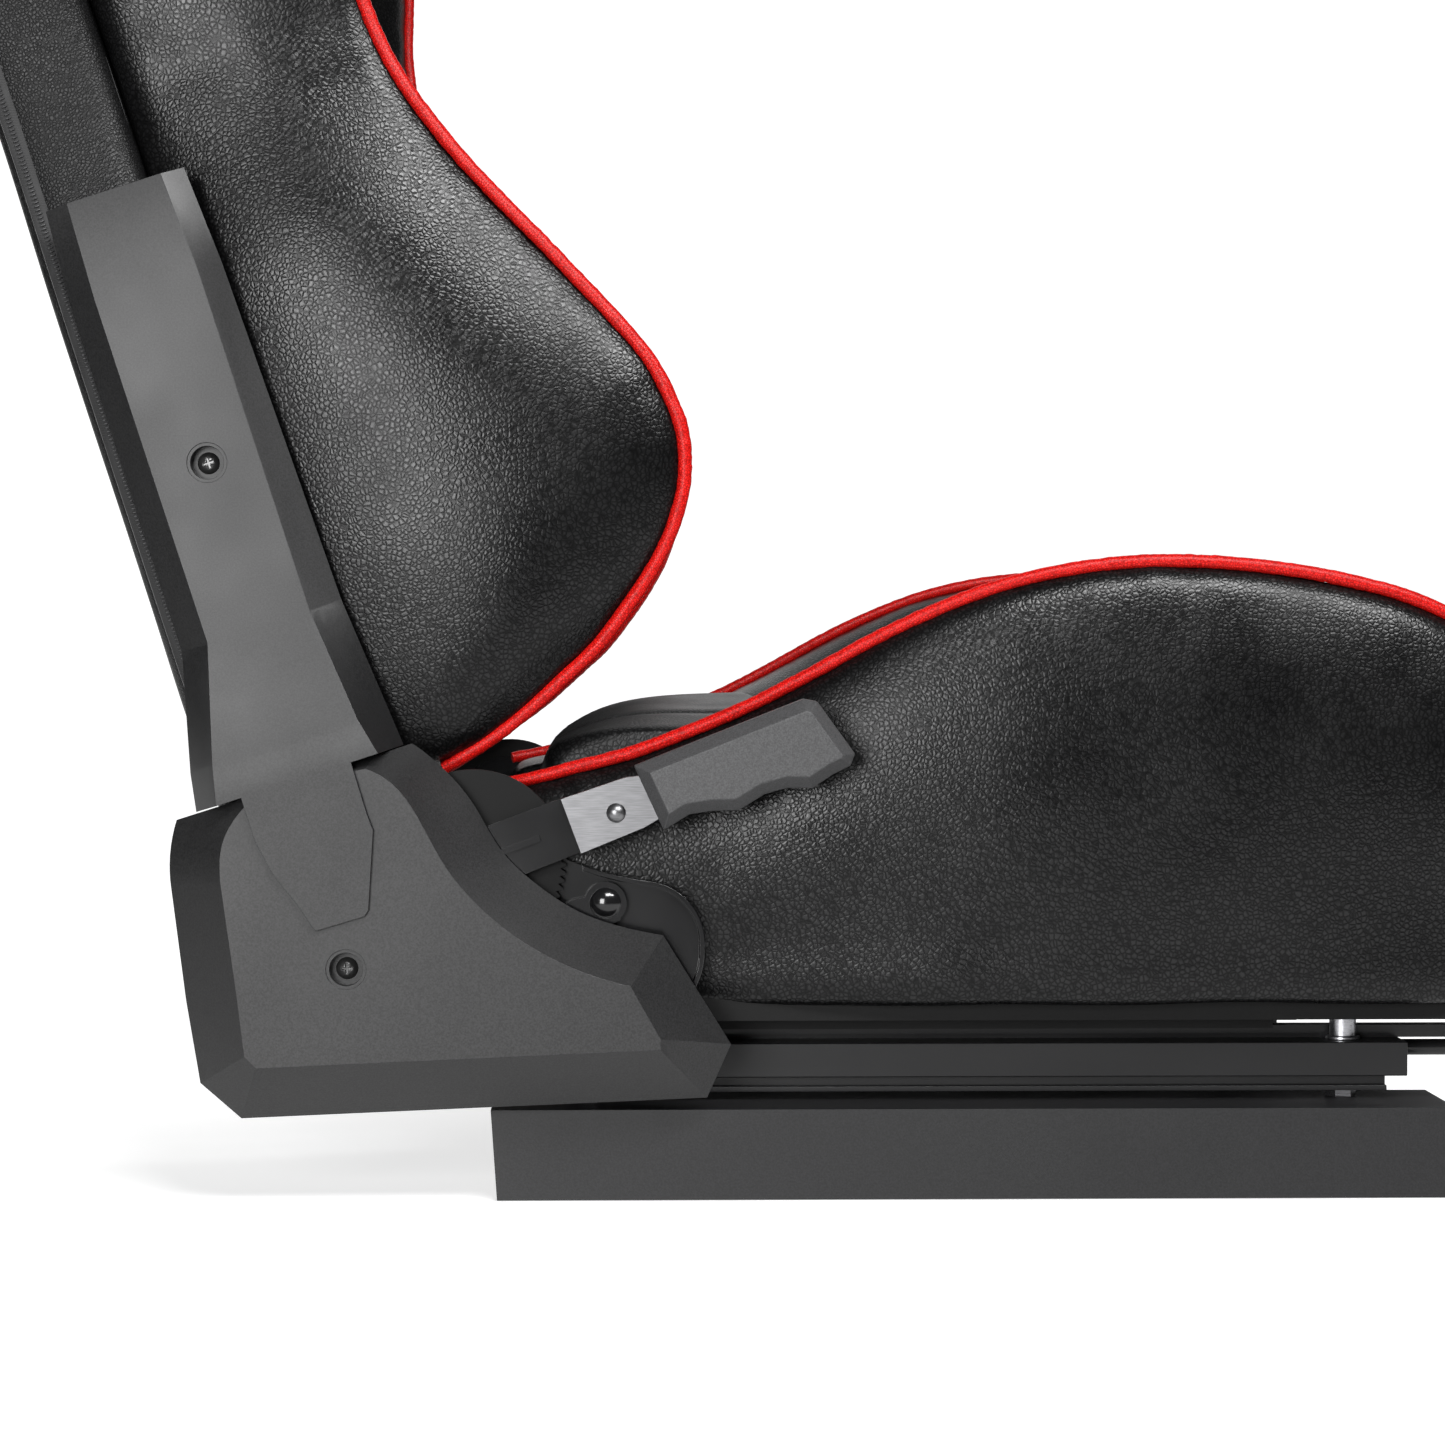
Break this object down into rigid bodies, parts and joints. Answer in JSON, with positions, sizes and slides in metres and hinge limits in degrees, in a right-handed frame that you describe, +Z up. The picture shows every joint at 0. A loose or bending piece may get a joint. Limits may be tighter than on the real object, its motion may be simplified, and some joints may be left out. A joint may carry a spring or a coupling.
{
  "type": "reclining racing seat",
  "caption": "Reclining bucket-style racing seat with piped side bolsters, hinge covers, recline lever and slide rails on a low steel base.",
  "frame": {"origin": "centre of the base's floor bolt pattern, on the floor plane", "axes": "+X the way the seat faces, +Y the sitter's left, +Z up"},
  "size_m": [0.9357, 0.5846, 0.9235],
  "materials": {
    "base_powder_coat": "satin",
    "rail_steel": "satin",
    "zinc_hardware": "satin",
    "frame_paint": "matte",
    "gloss_black_steel": "glossy",
    "elastic_webbing": "matte",
    "grained_black_pu": "satin",
    "centre_black_pu": "satin",
    "rear_fabric": "matte",
    "red_piping": "satin",
    "zip_black": "matte",
    "cover_plastic": "textured",
    "grip_plastic": "textured",
    "lever_steel": "polished",
    "spring_steel": "satin",
    "black_screws": "satin",
    "release_bar_black": "satin",
    "sleeve_rubber": "matte"
  },
  "bodies": {
    "base": {"base_side_right": "base_powder_coat", "base_side_left": "base_powder_coat", "rail_lower_right": "rail_steel", "rail_lower_left": "rail_steel", "base_crossbars": "base_powder_coat", "rail_base_bolts": "zinc_hardware"},
    "seat": {"rail_upper_right": "rail_steel", "rail_upper_left": "rail_steel", "carrier_bar_right": "rail_steel", "carrier_bar_left": "rail_steel", "cushion_rail_right": "frame_paint", "cushion_rail_left": "frame_paint", "cushion_bolster_right": "grained_black_pu", "cushion_bolster_left": "grained_black_pu", "cushion_piping_right": "red_piping", "cushion_piping_left": "red_piping", "recliner_bracket_right": "gloss_black_steel", "recliner_bracket_left": "gloss_black_steel", "slide_rollers": "zinc_hardware", "frame_bolts": "zinc_hardware", "frame_spacers": "zinc_hardware", "cushion_crossbars": "frame_paint", "cushion_straps": "elastic_webbing", "cushion_centre": "centre_black_pu", "recliner_bolts": "zinc_hardware", "bar_clips": "rail_steel", "pivot_pins": "zinc_hardware"},
    "release_bar": {"towel_bar": "release_bar_black", "bar_sleeve": "sleeve_rubber", "latch_plates": "rail_steel"},
    "lever": {"recline_lever": "lever_steel", "lever_grip": "grip_plastic", "lever_rivet": "lever_steel", "lever_spring": "spring_steel"},
    "pawl": {"pawl": "gloss_black_steel"},
    "backrest": {"recliner_arm_right": "frame_paint", "recliner_arm_left": "frame_paint", "back_upright_right": "frame_paint", "back_upright_left": "frame_paint", "back_bolster_right": "grained_black_pu", "back_bolster_left": "grained_black_pu", "shoulder_wing_right": "grained_black_pu", "shoulder_wing_left": "grained_black_pu", "back_piping_right": "red_piping", "back_piping_left": "red_piping", "harness_bezel_right": "grip_plastic", "harness_bezel_left": "grip_plastic", "lower_cover_right": "cover_plastic", "lower_cover_left": "cover_plastic", "upper_cover_right": "cover_plastic", "upper_cover_left": "cover_plastic", "back_crossbars": "frame_paint", "back_straps": "elastic_webbing", "back_centre": "centre_black_pu", "head_pad": "centre_black_pu", "back_shell": "rear_fabric", "arm_bolts": "zinc_hardware", "zip_strip": "zip_black", "cover_screws": "black_screws"}
  },
  "joints": [
    {"name": "seat_slide", "type": "slide", "parent": "base", "child": "seat", "axis": [1, 0, 0], "range_m": [-0.09, 0.09]},
    {"name": "release_bar_lift", "type": "hinge", "parent": "seat", "child": "release_bar", "pos_m": [0.06, 0, 0.0636], "axis": [0, -1, 0], "range_deg": [0, 3], "stiffness_Nm_per_rad": 10, "springref_deg": -5.73},
    {"name": "backrest_recline", "type": "hinge", "parent": "seat", "child": "backrest", "pos_m": [-0.238, 0, 0.161], "axis": [0, -1, 0], "range_deg": [-10, 25]},
    {"name": "lever_lift", "type": "hinge", "parent": "seat", "child": "lever", "pos_m": [-0.238, 0, 0.161], "axis": [0, -1, 0], "range_deg": [0, 24], "stiffness_Nm_per_rad": 2, "springref_deg": -17.19},
    {"name": "pawl_swing", "type": "hinge", "parent": "seat", "child": "pawl", "pos_m": [-0.1754, 0, 0.1418], "axis": [0, -1, 0], "range_deg": [0, 6]}
  ],
  "couplings": [
    {"joint": "pawl_swing", "follows": "lever_lift", "ratio": 0.25}
  ]
}
